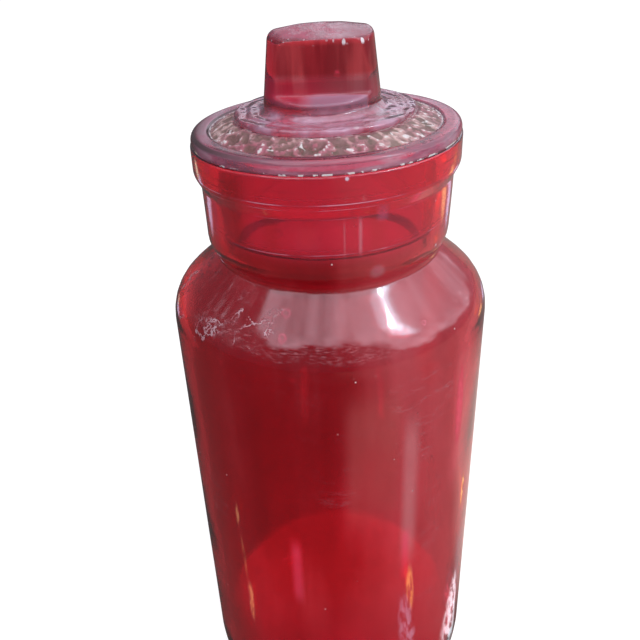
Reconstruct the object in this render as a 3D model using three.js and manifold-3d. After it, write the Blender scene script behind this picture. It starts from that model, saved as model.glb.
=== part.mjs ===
// A tall ruby glass jar with a stopper lid, in millimetres, +Z up.
// The origin is the middle of the base, on the surface that the jar stands on.
import * as THREE from "three";
import { mergeVertices } from "three/addons/utils/BufferGeometryUtils.js";
import Module from "manifold-3d";

const wasm = await Module();
wasm.setup();

// Jar, outside
const bodyRadius = 57.4;
const wallHeight = 190.6; // base to the level where the shoulder starts to turn in
const heelRadius = 23.3;
const shoulderRadius = 16;
const shoulderSlope = 41.3; // degrees above level, on the cone between shoulder and neck
const neckRadius = 42.8;
const neckDraw = 4; // how far the neck's foot is drawn in
const neckFootRadius = 14;
const neckTopDraw = 0.6; // the neck is this much narrower under the lip
const lipProud = 2.3; // lip beyond the neck's widest part
const lipHeight = 8.4;
const lipUnderHeight = 5; // the slope between neck and lip
const lipEdgeRadius = 1.4;

// Jar, inside and underneath
const wall = 4.2;
const neckWall = 4.8;
const floorThickness = 7;
const footRingWidth = 6.5;
const pushUp = 3; // hollow of the underside, which the floor inside follows

// Stopper: a hollow ground plug under a flange with a round bead
const seatDepth = 29.6; // length of the ground seat in the neck
const seatTaper = 0.03; // loss of radius for each millimetre down the seat
const plugClearance = 0.3; // beside the plug
const plugEndClearance = 0.3; // between the plug's end and the end of the seat
const plugWall = 3.6;
const plugEdgeRadius = 0.8;
const ceilingRadius = 3; // fillet inside the plug, under the top
const plugCeiling = 1.8; // hollow's ceiling above the lip
const flangeDraw = 0.4; // flange edge inside the lip's edge
const flangeEdgeHeight = 1.8;
const beadRadius = 2.8;
const troughDepth = 1.7; // below the bead's crest
const seatRise = 3.2; // the grip's seat above the trough's floor
const seatMargin = 0.5; // flat seat beyond the grip's foot

// Grip: a round tapered knob on a thin round foot, pressed flat on two sides
const footRadius = 30.7;
const footEdge = 1.5; // thickness at the foot's rim
const footRise = 0.8; // from the rim up to the fillet at the knob's root
const gripFillet = 2;
const gripRootRadius = 19.3;
const gripTopRadius = 16.8;
const gripHeight = 27.9; // underside of the foot to the crown
const gripEdgeRadius = 3.3;
const crownRise = 1.4;
const acrossFlats = 23.4;
const flatStart = 10.2; // underside of the foot to the lower end of the flats
const coveRadius = 2.4; // round between a flat and the ledge below it
const ledgeFall = 1.6; // the ledge falls outwards by this much

// Fineness of the faceted surfaces
const stepsAround = 48;
const degreesPerStep = 15;
const domeSteps = 3;
const coveSteps = 5;

// Levels that the pieces share
const tangent = Math.tan(THREE.MathUtils.degToRad(shoulderSlope));
const shoulderCentre = bodyRadius - shoulderRadius;
const shoulderTurn = 90 - shoulderSlope; // degrees of arc before the cone
const neckRootRadius = neckRadius - neckDraw;
const coneFoot = arcPoint(shoulderCentre, wallHeight, shoulderRadius, shoulderTurn);
const neckRoot = coneFoot.y + (coneFoot.x - neckRootRadius) * tangent;
const neckFootTurn = drawnAngle(neckFootRadius, neckDraw);
const seatEnd = neckRoot + neckFootRadius * Math.sin(THREE.MathUtils.degToRad(neckFootTurn));
const lipTop = seatEnd + seatDepth;
const mouthRadius = neckRadius - neckWall;
const lipRadius = neckRadius + lipProud;
const troughFloor = lipTop + flangeEdgeHeight + beadRadius - troughDepth;
const gripSeat = troughFloor + seatRise;

function arcPoint(centre, level, radius, degrees) {
  const angle = THREE.MathUtils.degToRad(degrees);
  return new THREE.Vector2(centre + radius * Math.cos(angle), level + radius * Math.sin(angle));
}

// Points of a round stretch of a profile, both ends included
function arc(centre, level, radius, from, to) {
  const steps = Math.max(1, Math.ceil(Math.abs(to - from) / degreesPerStep));
  const points = [];
  for (let i = 0; i <= steps; i++) {
    points.push(arcPoint(centre, level, radius, from + ((to - from) * i) / steps));
  }
  return points;
}

// Degrees that a round of this radius turns before it is drawn in by this much
function drawnAngle(radius, draw) {
  return THREE.MathUtils.radToDeg(Math.acos((radius - draw) / radius));
}

// Points of a shallow dome from its edge to its top on the axis
function dome(radius, rise, level) {
  const sphere = (radius * radius + rise * rise) / (2 * rise);
  const half = THREE.MathUtils.radToDeg(Math.asin(radius / sphere));
  const points = [];
  for (let i = 0; i < domeSteps; i++) {
    points.push(arcPoint(0, level + rise - sphere, sphere, 90 - half + (half * i) / domeSteps));
  }
  points.push(new THREE.Vector2(0, level + rise));
  return points;
}

function turned(profile) {
  const geometry = new THREE.LatheGeometry(profile, stepsAround);
  return geometry.rotateX(Math.PI / 2);
}

function point(radius, level) {
  return new THREE.Vector2(radius, level);
}

// Radius of the ground seat in the neck, which tapers downwards
function seatRadius(level) {
  return mouthRadius - seatTaper * (lipTop - level);
}

function jarBody() {
  const heelCentre = bodyRadius - heelRadius;
  const footRing = heelCentre - footRingWidth;
  const neckFootCentre = neckRadius - neckFootRadius;
  const neckTop = lipTop - lipHeight - lipUnderHeight;
  const outside = [
    ...dome(footRing, pushUp, 0).reverse(),
    ...arc(heelCentre, heelRadius, heelRadius, -90, 0),
    ...arc(shoulderCentre, wallHeight, shoulderRadius, 0, shoulderTurn),
    ...arc(neckFootCentre, seatEnd, neckFootRadius, -neckFootTurn, 0),
    point(neckRadius - neckTopDraw, neckTop),
    point(lipRadius, neckTop + lipUnderHeight),
    ...arc(lipRadius - lipEdgeRadius, lipTop - lipEdgeRadius, lipEdgeRadius, 0, 90),
  ];
  const innerFootRadius = neckFootRadius - neckWall;
  const innerFootCentre = seatRadius(seatEnd) - innerFootRadius;
  const throatRadius = neckRootRadius - neckWall;
  const throatTurn = drawnAngle(innerFootRadius, seatRadius(seatEnd) - throatRadius);
  const wallDrop = wall / Math.cos(THREE.MathUtils.degToRad(shoulderSlope));
  const innerHeelRadius = heelRadius - wall;
  const inside = [
    point(mouthRadius, lipTop),
    ...arc(innerFootCentre, seatEnd, innerFootRadius, 0, -throatTurn),
    point(throatRadius, neckRoot + (neckRootRadius - throatRadius) * tangent - wallDrop),
    ...arc(shoulderCentre, wallHeight, shoulderRadius - wall, shoulderTurn, 0),
    ...arc(heelCentre, floorThickness + innerHeelRadius, innerHeelRadius, 0, -90).slice(0, -1),
    ...dome(heelCentre, pushUp, floorThickness),
  ];
  return turned([...outside, ...inside]);
}

function lidStopper() {
  const plugEnd = seatEnd + plugEndClearance;
  const plugTopRadius = seatRadius(lipTop) - plugClearance;
  const plugEndRadius = seatRadius(plugEnd) - plugClearance;
  const ceiling = lipTop + plugCeiling;
  const hollowTop = plugTopRadius - plugWall;
  const hollowEnd = plugEndRadius - plugWall;
  const flangeRadius = lipRadius - flangeDraw;
  const beadCentre = flangeRadius - beadRadius;
  const beadLevel = lipTop + flangeEdgeHeight;
  const beadTurn = 90 + drawnAngle(beadRadius, troughDepth);
  return turned([
    point(0, ceiling),
    ...arc(hollowTop - ceilingRadius, ceiling - ceilingRadius, ceilingRadius, 90, 0),
    ...arc(hollowEnd + plugEdgeRadius, plugEnd + plugEdgeRadius, plugEdgeRadius, 180, 270),
    ...arc(plugEndRadius - plugEdgeRadius, plugEnd + plugEdgeRadius, plugEdgeRadius, 270, 360),
    point(plugTopRadius, lipTop),
    point(flangeRadius, lipTop),
    ...arc(beadCentre, beadLevel, beadRadius, 0, beadTurn),
    point(footRadius + seatMargin, gripSeat),
    point(0, gripSeat),
  ]);
}

function lidGrip() {
  const sideTop = gripSeat + gripHeight - crownRise - gripEdgeRadius;
  const rootLevel = gripSeat + footEdge + footRise;
  const crownRadius = gripTopRadius - gripEdgeRadius;
  const round = turned([
    point(0, gripSeat),
    point(footRadius - footEdge / 2, gripSeat),
    ...arc(footRadius - footEdge / 2, gripSeat + footEdge / 2, footEdge / 2, -90, 90).slice(1),
    ...arc(gripRootRadius + gripFillet, rootLevel + gripFillet, gripFillet, 270, 180),
    ...arc(crownRadius, sideTop, gripEdgeRadius, 0, 90).slice(0, -1),
    ...dome(crownRadius, crownRise, sideTop + gripEdgeRadius),
  ]);
  return solid(round).subtract(flatCutter(-1)).subtract(flatCutter(1));
}

// What is pressed away from one side of the grip; side is -1 for the front and 1 for the back
function flatCutter(side) {
  const half = acrossFlats / 2;
  const reach = gripRootRadius + gripFillet;
  const bottom = gripSeat + flatStart;
  const top = gripSeat + gripHeight + crownRise;
  const section = new THREE.Shape();
  section.moveTo(half, top);
  section.lineTo(half, bottom + coveRadius);
  section.absarc(half + coveRadius, bottom + coveRadius, coveRadius, Math.PI, 1.5 * Math.PI);
  section.lineTo(reach, bottom - ledgeFall);
  section.lineTo(reach, top);
  section.closePath();
  const cutter = new THREE.ExtrudeGeometry(section, {
    depth: 2 * reach,
    bevelEnabled: false,
    curveSegments: coveSteps,
  });
  cutter.translate(0, 0, -reach);
  cutter.rotateX(Math.PI / 2);
  cutter.rotateZ((side * Math.PI) / 2);
  return solid(cutter);
}

function solid(geometry) {
  const bare = geometry.clone();
  bare.deleteAttribute("normal");
  bare.deleteAttribute("uv");
  const merged = mergeVertices(bare);
  const index = Array.from(merged.index.array);
  const kept = [];
  for (let i = 0; i < index.length; i += 3) {
    const [a, b, c] = index.slice(i, i + 3);
    if (a !== b && b !== c && c !== a) {
      kept.push(a, b, c);
    }
  }
  const mesh = new wasm.Mesh({
    numProp: 3,
    vertProperties: Float32Array.from(merged.attributes.position.array),
    triVerts: Uint32Array.from(kept),
  });
  return new wasm.Manifold(mesh);
}

function surface(manifold) {
  const mesh = manifold.getMesh();
  const geometry = new THREE.BufferGeometry();
  geometry.setAttribute("position", new THREE.BufferAttribute(mesh.vertProperties, 3));
  geometry.setIndex(new THREE.BufferAttribute(mesh.triVerts, 1));
  return geometry;
}

function piece(name, geometry, color, roughness) {
  const material = new THREE.MeshStandardMaterial({ color, roughness, metalness: 0 });
  const mesh = new THREE.Mesh(geometry, material);
  mesh.name = name;
  return mesh;
}

const jar = new THREE.Group();
jar.add(piece("jar_body", jarBody(), 0x8f1a24, 0.06));

const lid = new THREE.Group();
lid.add(piece("lid_stopper", lidStopper(), 0x9c3a48, 0.1));
lid.add(piece("lid_grip", surface(lidGrip()), 0x8a1620, 0.06));

const object = new THREE.Group();
object.add(jar, lid);

export default object;
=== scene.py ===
import math
import bpy
from mathutils import Matrix, Vector, noise


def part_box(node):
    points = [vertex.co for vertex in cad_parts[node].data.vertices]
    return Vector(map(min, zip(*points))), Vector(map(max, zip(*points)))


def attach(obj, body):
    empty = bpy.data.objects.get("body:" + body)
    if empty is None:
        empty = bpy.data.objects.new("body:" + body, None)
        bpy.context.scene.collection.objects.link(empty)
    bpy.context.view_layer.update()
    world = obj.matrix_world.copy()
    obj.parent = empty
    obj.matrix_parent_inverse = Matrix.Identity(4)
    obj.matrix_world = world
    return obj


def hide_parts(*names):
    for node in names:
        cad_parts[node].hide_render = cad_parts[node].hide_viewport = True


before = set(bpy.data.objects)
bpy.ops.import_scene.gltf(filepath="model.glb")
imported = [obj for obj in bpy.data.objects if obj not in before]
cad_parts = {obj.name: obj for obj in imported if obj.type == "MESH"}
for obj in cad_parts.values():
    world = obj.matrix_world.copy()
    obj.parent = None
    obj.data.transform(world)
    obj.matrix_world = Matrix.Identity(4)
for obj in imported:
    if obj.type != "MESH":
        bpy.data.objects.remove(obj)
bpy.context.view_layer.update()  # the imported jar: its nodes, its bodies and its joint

mm = 0.001
scene = bpy.context.scene

# The photograph's viewpoint: close above the lid, looking down, leaning a little
view = {
    "place": (0.0, -242.4 * mm, 324.6 * mm),
    "lens": 41.3,
    "sensor": 36.0,
    "lookDown": 30.77,
    "turnRight": -0.8,
    "roll": 1.78,
}


def makeCamera():
    data = bpy.data.cameras.new("photoCamera")
    data.lens = view["lens"]
    data.sensor_width = view["sensor"]
    camera = bpy.data.objects.new("photoCamera", data)
    scene.collection.objects.link(camera)
    pitch = Matrix.Rotation(math.radians(90.0 - view["lookDown"]), 4, "X")
    turn = Matrix.Rotation(math.radians(-view["turnRight"]), 4, "Y")
    roll = Matrix.Rotation(math.radians(-view["roll"]), 4, "Z")
    camera.matrix_world = Matrix.Translation(view["place"]) @ pitch @ turn @ roll
    scene.camera = camera


makeCamera()
print("camera placed")

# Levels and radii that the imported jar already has
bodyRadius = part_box("jar_body")[1].x
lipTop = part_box("jar_body")[1].z
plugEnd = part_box("lid_stopper")[0].z
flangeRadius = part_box("lid_stopper")[1].x
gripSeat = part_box("lid_grip")[0].z
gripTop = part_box("lid_grip")[1].z
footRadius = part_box("lid_grip")[1].x
sameSpot = 0.001 * mm  # points closer than this are one point


def deselectAll():
    if bpy.context.object and bpy.context.object.mode != "OBJECT":
        bpy.ops.object.mode_set(mode="OBJECT")
    bpy.ops.object.select_all(action="DESELECT")


# A profile from corners (radius, level, round): each corner gets its round, and long stretches are divided
def roundedProfile(corners, spacing, degrees=9.0):
    points = [Vector(corners[0][:2])]
    for before, corner, after in zip(corners, corners[1:], corners[2:]):
        here = Vector(corner[:2])
        back = (Vector(before[:2]) - here).normalized()
        ahead = (Vector(after[:2]) - here).normalized()
        opening = back.angle(ahead)
        if corner[2] <= 0 or opening > math.radians(179.5):
            points.append(here)
            continue
        middle = here + (back + ahead).normalized() * corner[2] / math.sin(opening / 2)
        length = corner[2] / math.tan(opening / 2)
        start = here + back * length - middle
        end = here + ahead * length - middle
        steps = max(2, round(math.degrees(math.pi - opening) / degrees))
        for i in range(steps + 1):
            share = i / steps
            way = start.slerp(end, share).normalized() * corner[2]
            points.append(middle + way)
    points.append(Vector(corners[-1][:2]))
    divided = [points[0]]
    for a, b in zip(points, points[1:]):
        count = max(1, math.ceil((b - a).length / spacing))
        divided += [a.lerp(b, (i + 1) / count) for i in range(count)]
    return divided


# A closed piece turned from its profile: a ring of points laid along it, opened on the axis and screwed round
def turnPiece(name, profile, around):
    deselectAll()
    bpy.ops.mesh.primitive_circle_add(vertices=len(profile), radius=bodyRadius)
    piece = bpy.context.object
    piece.name = name
    mesh = piece.data
    for vertex, (radius, level) in zip(mesh.vertices, profile):
        vertex.co = (radius, 0, level)
    bpy.ops.object.mode_set(mode="EDIT")
    bpy.ops.mesh.select_mode(type="EDGE")
    bpy.ops.mesh.select_all(action="DESELECT")
    bpy.ops.object.mode_set(mode="OBJECT")
    for edge in mesh.edges:
        edge.select = all(mesh.vertices[i].co.x == 0 for i in edge.vertices)
    bpy.ops.object.mode_set(mode="EDIT")
    bpy.ops.mesh.delete(type="EDGE")
    bpy.ops.object.mode_set(mode="OBJECT")
    screw = piece.modifiers.new("turning", "SCREW")
    screw.angle = math.tau
    screw.steps = around
    screw.render_steps = around
    screw.use_merge_vertices = True
    screw.merge_threshold = sameSpot
    bpy.ops.object.modifier_apply(modifier=screw.name)
    bpy.ops.object.mode_set(mode="EDIT")
    bpy.ops.mesh.select_all(action="SELECT")
    bpy.ops.mesh.remove_doubles(threshold=sameSpot)
    bpy.ops.mesh.normals_make_consistent(inside=False)
    bpy.ops.object.mode_set(mode="OBJECT")
    bpy.ops.object.shade_smooth()
    return piece


def smoothStep(low, high, value):
    share = min(1.0, max(0.0, (value - low) / (high - low)))
    return share * share * (3 - 2 * share)


# The lesser of two lengths, with a soft change from one to the other
def softLeast(a, b, softness):
    near = max(softness - abs(a - b), 0.0) / softness
    return min(a, b) - near * near * softness / 4


# The head isn't square to the body: its rings rise to the right, and the lid's top falls to the back
head = {"rise": 0.021, "from": 205 * mm, "to": 240 * mm, "side": 0.45 * mm, "fall": 0.018, "over": 4 * mm}


def leanHead(co):
    share = smoothStep(head["from"], head["to"], co.z)
    top = smoothStep(lipTop, lipTop + head["over"], co.z)
    lift = head["rise"] * co.x * share - head["fall"] * co.y * top
    return Vector((co.x + head["side"] * share, co.y, co.z + lift))


def shapePiece(piece, move):
    for vertex in piece.data.vertices:
        vertex.co = move(vertex.co)
    piece.data.update()


jar = {
    "around": 192,
    "spacing": 4.0 * mm,
    "heel": 23.3 * mm,
    "wallTop": 190.6 * mm,
    "shoulder": 16.0 * mm,
    "slope": 41.3,
    "neckRadius": 42.8 * mm,
    "neckDraw": 4.0 * mm,
    "neckFoot": 10.0 * mm,
    "neckFootLevel": 218.3 * mm,
    "neckFootDraw": 0.5 * mm,
    "crease": 1.5 * mm,
    "neckTop": 240.2 * mm,
    "neckTopDraw": -0.1 * mm,
    "lipProud": 2.3 * mm,
    "lipUnder": 244.6 * mm,
    "wall": 4.2 * mm,
    "neckWall": 4.8 * mm,
    "seatTaper": 0.03,
    "throatLevel": 220.4 * mm,
    "floor": 7.0 * mm,
    "footRing": 6.5 * mm,
    "footRound": 60.0 * mm,
    "pushUp": 3.0 * mm,
    "neckTopRound": 3.0 * mm,
    "lipUnderRound": 4.5 * mm,
    "lipEdge": 0.9 * mm,
    "mouthEdge": 0.8 * mm,
    "throatRounds": (7.0 * mm, 4.0 * mm),
    "floorDome": 0.75,  # share of the push-up that is reached halfway to the axis
    "floorRound": 40.0 * mm,
    "ripple": 0.16 * mm,
    "rippleSize": 34.0 * mm,
    "rippleOutside": 0.3,
    "rippleFrom": (8 * mm, 40 * mm),
    "rippleTo": (200 * mm, 222 * mm),
}


def makeJar():
    slope = math.tan(math.radians(jar["slope"]))
    heelCentre = bodyRadius - jar["heel"]
    shoulderCorner = jar["wallTop"] + jar["shoulder"] * math.tan(math.radians(45 - jar["slope"] / 2))
    rootRadius = jar["neckRadius"] - jar["neckDraw"]
    root = shoulderCorner + (bodyRadius - rootRadius) * slope
    lipRadius = jar["neckRadius"] + jar["lipProud"]
    mouth = jar["neckRadius"] - jar["neckWall"]
    seatFoot = mouth - jar["seatTaper"] * (lipTop - jar["throatLevel"])
    throat = rootRadius - jar["neckWall"]
    inner = bodyRadius - jar["wall"]
    drop = jar["wall"] / math.cos(math.radians(jar["slope"]))
    innerCorner = shoulderCorner + jar["wall"] * slope - drop
    seatFootRound, throatRound = jar["throatRounds"]
    corners = [
        (0, jar["pushUp"], 0),
        (heelCentre - jar["footRing"], 0, jar["footRound"]),
        (bodyRadius, 0, jar["heel"]),
        (bodyRadius, shoulderCorner, jar["shoulder"]),
        (rootRadius, root, jar["crease"]),
        (jar["neckRadius"] - jar["neckFootDraw"], jar["neckFootLevel"], jar["neckFoot"]),
        (jar["neckRadius"] - jar["neckTopDraw"], jar["neckTop"], jar["neckTopRound"]),
        (lipRadius, jar["lipUnder"], jar["lipUnderRound"]),
        (lipRadius, lipTop, jar["lipEdge"]),
        (mouth, lipTop, jar["mouthEdge"]),
        (seatFoot, jar["throatLevel"], seatFootRound),
        (throat, root + (rootRadius - throat) * slope - drop, throatRound),
        (inner, innerCorner, jar["shoulder"] - jar["wall"]),
        (inner, jar["floor"], jar["heel"] - jar["wall"]),
        (heelCentre, jar["floor"], 0),
        (heelCentre / 2, jar["floor"] + jar["floorDome"] * jar["pushUp"], jar["floorRound"]),
        (0, jar["floor"] + jar["pushUp"], 0),
    ]
    piece = turnPiece("jarShell", roundedProfile(corners, jar["spacing"]), jar["around"])
    middle = bodyRadius - jar["wall"] / 2

    # Blown glass: the inside of the wall wanders more than the moulded outside, and by waves of its own
    def ripple(co):
        share = smoothStep(*jar["rippleFrom"], co.z) * (1 - smoothStep(*jar["rippleTo"], co.z))
        inside = math.hypot(co.x, co.y) < middle
        depth = jar["ripple"] * (1.0 if inside else jar["rippleOutside"]) * share
        wave = noise.noise(co / jar["rippleSize"] + Vector((0, 0, 9.0 * inside)))
        outward = Vector((co.x, co.y, 0)).normalized()
        return leanHead(co + outward * wave * depth)

    shapePiece(piece, ripple)
    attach(piece, "jar")
    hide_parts("jar_body")
    return piece


stopper = {
    "around": 288,
    "spacing": 0.7 * mm,
    "gap": 0.03 * mm,
    "beside": 0.3 * mm,
    "wall": 3.6 * mm,
    "ceiling": 1.8 * mm,
    "ceilingRound": 3.0 * mm,
    "beadTop": 3.7 * mm,
    "beadRound": 2.4 * mm,
    "beadInner": 38.9 * mm,
    "beadInnerRound": 1.6 * mm,
    "trough": 2.6 * mm,
    "troughSlope": 0.5 * mm,
    "troughRound": 0.8 * mm,
    "gripMargin": 0.5 * mm,
    "gripSeatRound": 0.6 * mm,
    "plugEdges": (1.4 * mm, 1.0 * mm),  # inside and outside
    "flangeRoot": 0.5 * mm,
    "flangeEdge": 0.35 * mm,
    "roughDepth": (0.5 * mm, 0.4 * mm),  # from below the trough's corner, and how softly
    "roughInner": (2.5 * mm, 3.0 * mm),  # inside the grip's edge
    "roughOuter": (0.2 * mm, 1.2 * mm),  # inside the bead
    "crestFrom": (0.05 * mm, 0.2 * mm),  # below the bead's top
    "crestTo": (0.9 * mm, 1.5 * mm),
    "crestInner": 0.8 * mm,
    "crinkle": 1.05 * mm,
    "crinkleSize": 3.8 * mm,
    "crinkleNoise": (0.7, 2.1, 4, 0.9, 1.6),  # roughness, step, octaves, offset and gain
    "crinkleMiddle": 0.55,
}


def makeStopper():
    seatTop = jar["neckRadius"] - jar["neckWall"] - stopper["beside"]
    plugFoot = seatTop - jar["seatTaper"] * (lipTop - plugEnd)
    under = lipTop + stopper["gap"]
    beadTop = lipTop + stopper["beadTop"]
    insideEdge, outsideEdge = stopper["plugEdges"]
    corners = [
        (0, lipTop + stopper["ceiling"], 0),
        (seatTop - stopper["wall"], lipTop + stopper["ceiling"], stopper["ceilingRound"]),
        (plugFoot - stopper["wall"], plugEnd, insideEdge),
        (plugFoot, plugEnd, outsideEdge),
        (seatTop, under, stopper["flangeRoot"]),
        (flangeRadius, under, stopper["flangeEdge"]),
        (flangeRadius, beadTop, stopper["beadRound"]),
        (stopper["beadInner"], beadTop, stopper["beadInnerRound"]),
        (stopper["beadInner"] - stopper["troughSlope"], lipTop + stopper["trough"], stopper["troughRound"]),
        (footRadius + stopper["gripMargin"], gripSeat, stopper["gripSeatRound"]),
        (0, gripSeat, 0),
    ]
    piece = turnPiece("stopperGlass", roundedProfile(corners, stopper["spacing"]), stopper["around"])
    low = lipTop + stopper["trough"] - stopper["roughDepth"][0]
    inner = footRadius - stopper["roughInner"][0]
    outer = stopper["beadInner"] - stopper["roughOuter"][0]

    # How far a point is in the trough, which was left rough
    def inTrough(co):
        reach = math.hypot(co.x, co.y)
        share = smoothStep(low, low + stopper["roughDepth"][1], co.z)
        share *= smoothStep(inner, inner + stopper["roughInner"][1], reach)
        return share * (1 - smoothStep(outer - stopper["roughOuter"][1], outer, reach))

    # How far a point is on the slopes beside the bead's crest
    def besideCrest(co):
        below = beadTop - co.z
        share = smoothStep(*stopper["crestFrom"], below) * (1 - smoothStep(*stopper["crestTo"], below))
        return share * smoothStep(outer - stopper["crestInner"], outer, math.hypot(co.x, co.y))

    # How high the folds stand there, from nought to about one
    def foldsAt(co):
        return 0.5 * noise.ridged_multi_fractal(co / stopper["crinkleSize"], *stopper["crinkleNoise"])

    shares = [inTrough(vertex.co) for vertex in piece.data.vertices]
    folds = [foldsAt(vertex.co) if share else 0.0 for vertex, share in zip(piece.data.vertices, shares)]
    # The slopes beside the crest, where a dark reflection is painted
    crest = [besideCrest(vertex.co) for vertex in piece.data.vertices]
    for name, values in (("crust", shares), ("folds", folds), ("crest", crest)):
        piece.data.attributes.new(name, "FLOAT", "POINT").data.foreach_set("value", values)
    for vertex, share, fold in zip(piece.data.vertices, shares, folds):
        lift = stopper["crinkle"] * share * (fold - stopper["crinkleMiddle"])
        vertex.co = leanHead(vertex.co + Vector((0, 0, lift)))
    piece.data.update()
    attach(piece, "lid")
    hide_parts("lid_stopper")
    return piece


grip = {
    "around": 192,
    "spacing": 0.5 * mm,
    "sink": 0.05 * mm,
    "underIn": 0.9 * mm,  # the foot's underside within its rim
    "underRound": 0.5 * mm,
    "rim": 1.9 * mm,
    "rimIn": 0.2 * mm,
    "rimRound": 0.9 * mm,
    "rise": 0.5 * mm,
    "root": 19.45 * mm,
    "rootRound": 2.2 * mm,
    "top": 16.6 * mm,
    "topRound": 3.2 * mm,
    "crown": 1.7 * mm,
    "crownBend": (0.45, 0.35 * mm),  # share of the top's radius, and how far below the crown
    "crownRound": 20.0 * mm,
    "flat": 10.9 * mm,
    "flatStart": 8.0 * mm,
    "cove": 1.3 * mm,
    "ledge": 1.9 * mm,
    "edge": 1.1 * mm,
    "bulge": 1.3 * mm,
    "bulgeReach": 14.0 * mm,
    "roof": 1.8 * mm,
    "roofDepth": 9.0 * mm,
    "wave": 0.8 * mm,
    "waveFrom": 6.0 * mm,
    "waveCount": 2.2,
    "waveIn": 0.4,
    "waveLift": 0.25 * mm,
    "aside": -0.8 * mm,
}


def makeGrip():
    base = gripSeat - grip["sink"]
    rootLevel = gripSeat + grip["rim"] + grip["rise"]
    bendShare, bendFall = grip["crownBend"]
    corners = [
        (0, base, 0),
        (footRadius - grip["underIn"], base, grip["underRound"]),
        (footRadius - grip["rimIn"], gripSeat + grip["rim"], grip["rimRound"]),
        (grip["root"], rootLevel, grip["rootRound"]),
        (grip["top"], gripTop - grip["crown"], grip["topRound"]),
        (bendShare * grip["top"], gripTop - bendFall, grip["crownRound"]),
        (0, gripTop, 0),
    ]
    piece = turnPiece("gripGlass", roundedProfile(corners, grip["spacing"]), grip["around"])
    ledgeLevel = gripSeat + grip["flatStart"]
    coveLevel = ledgeLevel + grip["cove"]

    # How far the pressed sides let the glass stand forward at a level
    def flatLimit(level):
        if level >= coveLevel:
            return grip["flat"]
        if level >= ledgeLevel:
            fall = coveLevel - level
            return grip["flat"] + grip["cove"] - math.sqrt(grip["cove"] ** 2 - fall**2)
        past = (ledgeLevel - level) / grip["ledge"]
        return grip["flat"] + grip["cove"] + past * (grip["root"] - grip["flat"])

    # Presses the knob's sides, domes its top, waves the foot's edge and moves the knob aside
    def press(co):
        reach = math.hypot(co.x, co.y)
        y = co.y
        if co.z > rootLevel:
            bulge = grip["bulge"] * (1 - (co.x / grip["bulgeReach"]) ** 2)
            y = math.copysign(softLeast(abs(y), flatLimit(co.z) + bulge, grip["edge"]), y)
        top = smoothStep(gripTop - grip["roofDepth"], gripTop, co.z)
        drop = grip["roof"] * top * (y / grip["flat"]) ** 2
        share = smoothStep(footRadius - grip["waveFrom"], footRadius, reach) * (co.z < rootLevel)
        angle = math.atan2(co.y, co.x)
        around = grip["waveCount"] * Vector((math.cos(angle), math.sin(angle), 0))
        wave = noise.noise(around + Vector((0, 0, 4.0)))
        grow = 1 + share * grip["wave"] * (wave - grip["waveIn"]) / footRadius
        lift = share * grip["waveLift"] * wave * smoothStep(base, base + grip["rim"], co.z)
        aside = grip["aside"] * smoothStep(base + grip["rim"], rootLevel + grip["rootRound"], co.z)
        return leanHead(Vector((co.x * grow + aside, y * grow, co.z + lift - drop)))

    shapePiece(piece, press)
    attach(piece, "lid")
    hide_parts("lid_grip")
    return piece


jarPiece = makeJar()
print("jar turned,", len(jarPiece.data.polygons), "faces")
stopperPiece = makeStopper()
print("stopper turned,", len(stopperPiece.data.polygons), "faces")
gripPiece = makeGrip()
print("grip pressed,", len(gripPiece.data.polygons), "faces")


def newMaterial(name):
    material = bpy.data.materials.new(name)
    material.use_nodes = True
    material.node_tree.nodes.clear()
    return material, material.node_tree


# A node with its settings: another node's output is linked to its input, and a plain value is set there
def addNode(tree, kind, inputs, **settings):
    node = tree.nodes.new("ShaderNode" + kind)
    for name, value in settings.items():
        setattr(node, name, value)
    for name, value in inputs.items():
        if isinstance(value, bpy.types.NodeSocket):
            tree.links.new(value, node.inputs[name])
        else:
            node.inputs[name].default_value = value
    return node


# A coordinate's three parts, by their letters
def addSplit(tree, place):
    return addNode(tree, "SeparateXYZ", {"Vector": place}).outputs


# A value that was made with the mesh, point by point
def addAttribute(tree, name):
    return addNode(tree, "Attribute", {}, attribute_name=name).outputs["Fac"]


def addNoise(tree, place, scale, detail, roughness=0.5):
    values = {"Vector": place, "Scale": scale, "Detail": detail, "Roughness": roughness}
    return addNode(tree, "TexNoise", values).outputs["Fac"]


def addRange(tree, value, low, high, toLow=0.0, toHigh=1.0, smooth=False):
    kind = "SMOOTHSTEP" if smooth else "LINEAR"
    values = {"Value": value, "From Min": low, "From Max": high, "To Min": toLow, "To Max": toHigh}
    return addNode(tree, "MapRange", values, interpolation_type=kind).outputs["Result"]


# Clouds of a noise, within a range of its values
def addPatches(tree, place, values, span):
    return addRange(tree, addNoise(tree, place, *values), *span)


def addMath(tree, operation, a, b):
    return addNode(tree, "Math", {0: a, 1: b}, operation=operation).outputs["Value"]


# The product of several masks
def addMask(tree, mask, *others):
    for other in others:
        mask = addMath(tree, "MULTIPLY", mask, other)
    return mask


# The most of several masks
def addMost(tree, mask, *others):
    for other in others:
        mask = addMath(tree, "MAXIMUM", mask, other)
    return mask


def addMix(tree, share, a, b):
    a, b = [(*colour, 1) if isinstance(colour, tuple) else colour for colour in (a, b)]
    return addNode(tree, "Mix", {"Factor": share, 6: a, 7: b}, data_type="RGBA").outputs[2]


def addBump(tree, height, distance, before=None):
    values = {"Strength": 1.0, "Distance": distance, "Height": height}
    if before:
        values["Normal"] = before
    return addNode(tree, "Bump", values).outputs["Normal"]


# Coordinates stretched along the height, for streaks that were drawn down the glass
def addStretch(tree, place, alongHeight):
    return addNode(tree, "Mapping", {"Vector": place, "Scale": (1, 1, alongHeight)}).outputs["Vector"]


# One inside a band of a value and nought outside it, with soft sides
def addBand(tree, value, low, high, soft):
    rise = addRange(tree, value, low, low + soft, smooth=True)
    fall = addRange(tree, value, high - soft, high, 1.0, 0.0, smooth=True)
    return addMask(tree, rise, fall)


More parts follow.
